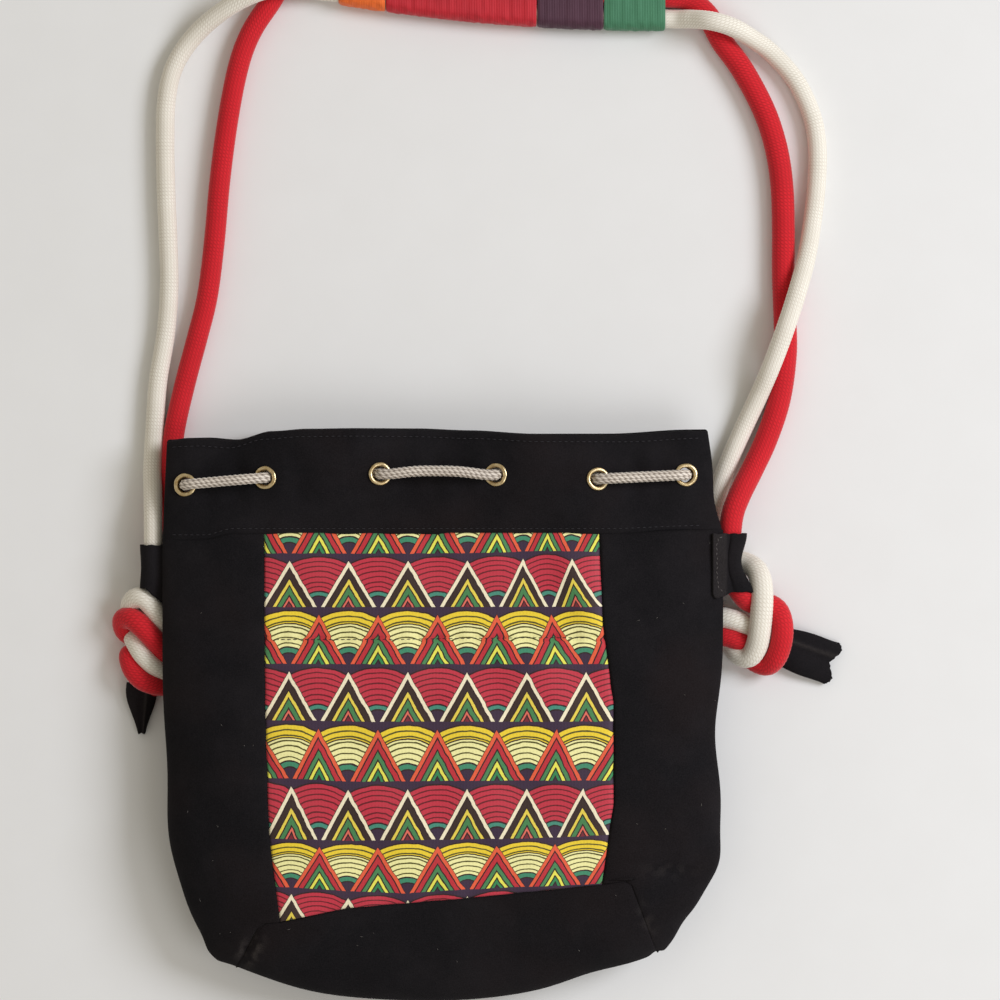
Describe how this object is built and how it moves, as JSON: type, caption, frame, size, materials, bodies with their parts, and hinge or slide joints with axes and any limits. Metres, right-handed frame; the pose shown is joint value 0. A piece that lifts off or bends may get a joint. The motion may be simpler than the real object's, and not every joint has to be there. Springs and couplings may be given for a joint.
{
  "type": "drawstring shoulder bag",
  "caption": "Flat-lying suede bucket bag with a printed cotton front, an eyeleted collar closed by a drawstring, and a shoulder strap of two knotted cotton ropes.",
  "frame": {"origin": "on the floor, at the middle of the flat stretch of the back panel that the bag lies on", "axes": "+X across the bag to the right seen from the printed front, +Y from the base to the mouth and the strap, +Z out of the printed front"},
  "size_m": [0.399, 0.5636, 0.05],
  "materials": {
    "suede": "black suede with a short nap, matt",
    "printed_cotton": "waxed printed cotton, slight sheen",
    "pocket_cotton": "plain black cotton",
    "eyelets": "pale polished brass",
    "braided_cord": "beige braided cord with a silvery sheen",
    "cream_rope": "braided cotton, cream",
    "red_rope": "braided cotton, red",
    "orange_thread": "close thread winding, orange",
    "red_thread": "close thread winding, red",
    "purple_thread": "close thread winding, dark purple",
    "green_thread": "close thread winding, green"
  },
  "bodies": {
    "root": {"side_panel_left": "suede", "side_panel_right": "suede", "base_panel": "suede", "back_panel": "suede", "print_panel": "printed_cotton", "inner_pocket": "pocket_cotton", "collar_front": "suede", "collar_back": "suede", "eyelet_front_1": "eyelets", "eyelet_front_2": "eyelets", "eyelet_front_3": "eyelets", "eyelet_front_4": "eyelets", "eyelet_front_5": "eyelets", "eyelet_front_6": "eyelets", "eyelet_back_1": "eyelets", "eyelet_back_2": "eyelets", "eyelet_back_3": "eyelets", "eyelet_back_4": "eyelets", "eyelet_back_5": "eyelets", "eyelet_back_6": "eyelets", "drawstring": "braided_cord", "drawstring_knot": "braided_cord", "strap_rope_cream": "cream_rope", "strap_rope_red": "red_rope", "wrap_orange": "orange_thread", "wrap_red": "red_thread", "wrap_purple": "purple_thread", "wrap_green": "green_thread", "tab_left": "suede", "tab_right": "suede", "knot_left": "red_rope", "knot_right": "red_rope", "end_sleeve_left": "suede", "end_sleeve_right": "suede"}
  },
  "joints": []
}
